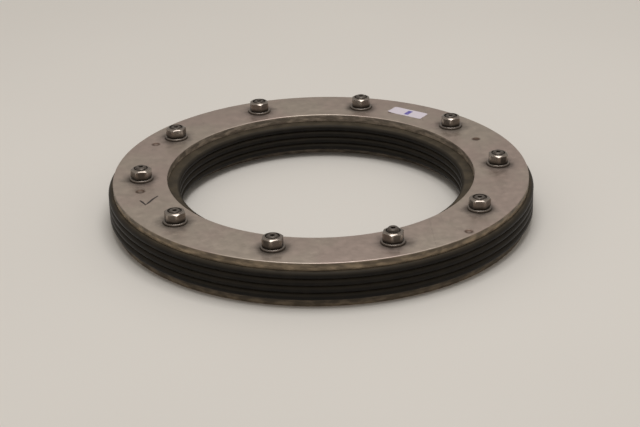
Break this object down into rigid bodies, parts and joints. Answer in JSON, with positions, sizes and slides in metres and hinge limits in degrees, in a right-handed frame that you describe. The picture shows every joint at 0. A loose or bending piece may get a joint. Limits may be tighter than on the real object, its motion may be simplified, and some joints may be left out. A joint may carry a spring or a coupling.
{
  "type": "annular pipe seal",
  "caption": "Ring-shaped wall seal: ribbed rubber rings clamped between two flat annular steel plates by studs with washers and insert lock nuts.",
  "frame": {"origin": "on the ring axis, at the underside of the bottom pressure plate", "axes": "+Z along the ring axis from the bottom plate to the lock nuts; a stud stands on +X"},
  "size_m": [0.299, 0.299, 0.0416],
  "materials": {
    "plate_steel": "stainless sheet, mill finish, aged to a warm dull grey",
    "stud_steel": "rolled stainless thread",
    "washer_steel": "stamped stainless",
    "nut_steel": "cold-formed stainless, dirty in the corners",
    "insert_nylon": "dark dirty nylon",
    "seal_rubber": "moulded black EPDM with light dust",
    "label_paper": "thin blank adhesive label"
  },
  "bodies": {
    "base": {"bottom_pressure_plate": "plate_steel", "seal_ring_1": "seal_rubber", "seal_ring_2": "seal_rubber", "seal_ring_3": "seal_rubber", "seal_ring_4": "seal_rubber", "stud_01": "stud_steel", "stud_02": "stud_steel", "stud_03": "stud_steel", "stud_04": "stud_steel", "stud_05": "stud_steel", "stud_06": "stud_steel", "stud_07": "stud_steel", "stud_08": "stud_steel", "stud_09": "stud_steel", "stud_10": "stud_steel"},
    "clamp": {"top_pressure_plate": "plate_steel", "adhesive_label": "label_paper", "washer_01": "washer_steel", "washer_02": "washer_steel", "washer_03": "washer_steel", "washer_04": "washer_steel", "washer_05": "washer_steel", "washer_06": "washer_steel", "washer_07": "washer_steel", "washer_08": "washer_steel", "washer_09": "washer_steel", "washer_10": "washer_steel"},
    "nut_01": {"lock_nut_01": "nut_steel", "nut_insert_01": "insert_nylon"},
    "nut_02": {"lock_nut_02": "nut_steel", "nut_insert_02": "insert_nylon"},
    "nut_03": {"lock_nut_03": "nut_steel", "nut_insert_03": "insert_nylon"},
    "nut_04": {"lock_nut_04": "nut_steel", "nut_insert_04": "insert_nylon"},
    "nut_05": {"lock_nut_05": "nut_steel", "nut_insert_05": "insert_nylon"},
    "nut_06": {"lock_nut_06": "nut_steel", "nut_insert_06": "insert_nylon"},
    "nut_07": {"lock_nut_07": "nut_steel", "nut_insert_07": "insert_nylon"},
    "nut_08": {"lock_nut_08": "nut_steel", "nut_insert_08": "insert_nylon"},
    "nut_09": {"lock_nut_09": "nut_steel", "nut_insert_09": "insert_nylon"},
    "nut_10": {"lock_nut_10": "nut_steel", "nut_insert_10": "insert_nylon"}
  },
  "joints": [
    {"name": "clamp_slide", "type": "slide", "parent": "base", "child": "clamp", "axis": [0, 0, -1], "range_m": [0, 0.00375], "deforming": ["seal_ring_1", "seal_ring_2", "seal_ring_3", "seal_ring_4"]},
    {"name": "nut_01_turn", "type": "hinge", "parent": "clamp", "child": "nut_01", "pos_m": [0.126, 0, 0.0326], "axis": [0, 0, 1], "range_deg": [-1081, 1]},
    {"name": "nut_02_turn", "type": "hinge", "parent": "clamp", "child": "nut_02", "pos_m": [0.10194, 0.07406, 0.0326], "axis": [0, 0, 1], "range_deg": [-1081, 1]},
    {"name": "nut_03_turn", "type": "hinge", "parent": "clamp", "child": "nut_03", "pos_m": [0.03894, 0.11983, 0.0326], "axis": [0, 0, 1], "range_deg": [-1081, 1]},
    {"name": "nut_04_turn", "type": "hinge", "parent": "clamp", "child": "nut_04", "pos_m": [-0.03894, 0.11983, 0.0326], "axis": [0, 0, 1], "range_deg": [-1081, 1]},
    {"name": "nut_05_turn", "type": "hinge", "parent": "clamp", "child": "nut_05", "pos_m": [-0.10194, 0.07406, 0.0326], "axis": [0, 0, 1], "range_deg": [-1081, 1]},
    {"name": "nut_06_turn", "type": "hinge", "parent": "clamp", "child": "nut_06", "pos_m": [-0.126, 0, 0.0326], "axis": [0, 0, 1], "range_deg": [-1081, 1]},
    {"name": "nut_07_turn", "type": "hinge", "parent": "clamp", "child": "nut_07", "pos_m": [-0.10194, -0.07406, 0.0326], "axis": [0, 0, 1], "range_deg": [-1081, 1]},
    {"name": "nut_08_turn", "type": "hinge", "parent": "clamp", "child": "nut_08", "pos_m": [-0.03894, -0.11983, 0.0326], "axis": [0, 0, 1], "range_deg": [-1081, 1]},
    {"name": "nut_09_turn", "type": "hinge", "parent": "clamp", "child": "nut_09", "pos_m": [0.03894, -0.11983, 0.0326], "axis": [0, 0, 1], "range_deg": [-1081, 1]},
    {"name": "nut_10_turn", "type": "hinge", "parent": "clamp", "child": "nut_10", "pos_m": [0.10194, -0.07406, 0.0326], "axis": [0, 0, 1], "range_deg": [-1081, 1]}
  ],
  "couplings": [
    {"joint": "nut_01_turn", "follows": "clamp_slide", "rad_per_m": -5026.5},
    {"joint": "nut_02_turn", "follows": "clamp_slide", "rad_per_m": -5026.5},
    {"joint": "nut_03_turn", "follows": "clamp_slide", "rad_per_m": -5026.5},
    {"joint": "nut_04_turn", "follows": "clamp_slide", "rad_per_m": -5026.5},
    {"joint": "nut_05_turn", "follows": "clamp_slide", "rad_per_m": -5026.5},
    {"joint": "nut_06_turn", "follows": "clamp_slide", "rad_per_m": -5026.5},
    {"joint": "nut_07_turn", "follows": "clamp_slide", "rad_per_m": -5026.5},
    {"joint": "nut_08_turn", "follows": "clamp_slide", "rad_per_m": -5026.5},
    {"joint": "nut_09_turn", "follows": "clamp_slide", "rad_per_m": -5026.5},
    {"joint": "nut_10_turn", "follows": "clamp_slide", "rad_per_m": -5026.5}
  ]
}
